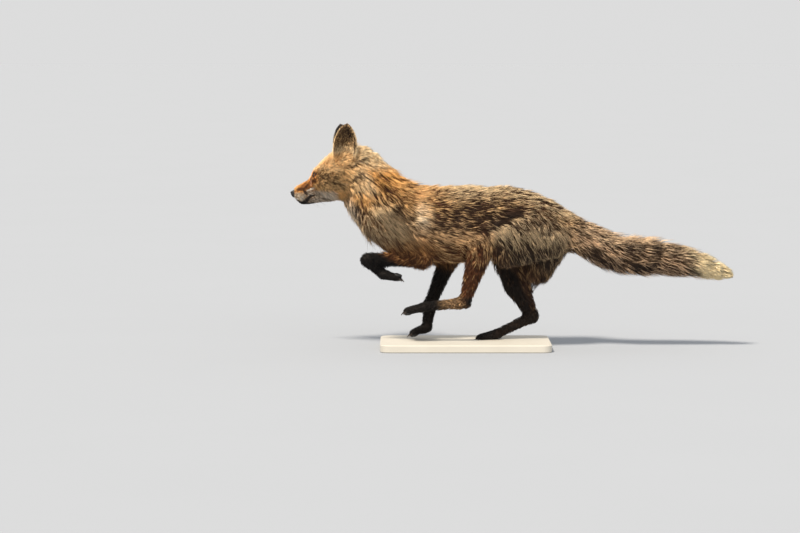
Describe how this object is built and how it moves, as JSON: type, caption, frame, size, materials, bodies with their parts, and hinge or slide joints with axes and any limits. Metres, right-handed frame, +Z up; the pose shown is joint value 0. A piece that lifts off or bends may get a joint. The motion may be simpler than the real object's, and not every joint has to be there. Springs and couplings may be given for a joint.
{
  "type": "red fox display model",
  "caption": "Life-size still model of a red fox running, its fur coat and bushy tail whole, standing on a plain flat board.",
  "frame": {"origin": "middle of the model's box, at the underside of the stand's board", "axes": "+X towards the tail tip, so the fox faces -X; +Y towards the fox's right side; +Z up from the board"},
  "size_m": [1.0446, 0.236, 0.5312],
  "materials": {
    "coat_body": "dense grey-brown summer fur with cream-tipped guard hairs",
    "coat_face": "short orange-tan fur, white at the lips and throat",
    "coat_leg": "short dark brown to black fur",
    "coat_tail": "long loose brown fur with a pale tip",
    "coat_ear": "velvety black fur behind, cream fringe inside",
    "eye": "polished amber glass eye with an upright pupil",
    "nose": "moist black pebbled skin",
    "claw": "dark horn, satin",
    "board": "fibreboard with a matt warm-grey lacquer"
  },
  "bodies": {
    "root": {"head": "coat_face", "jaw_lower": "coat_face", "nose": "nose", "eye_left": "eye", "eye_right": "eye", "ear_left": "coat_ear", "ear_right": "coat_ear", "neck": "coat_body", "chest": "coat_body", "loin": "coat_body", "rump": "coat_body", "tail": "coat_tail", "tail_tip": "coat_tail", "upper_arm_left": "coat_body", "upper_arm_right": "coat_body", "forearm_left": "coat_leg", "forearm_right": "coat_leg", "forepaw_left": "coat_leg", "forepaw_right": "coat_leg", "thigh_left": "coat_body", "thigh_right": "coat_body", "shank_left": "coat_leg", "shank_right": "coat_leg", "hindpaw_left": "coat_leg", "hindpaw_right": "coat_leg", "stand_base": "board"}
  },
  "joints": []
}
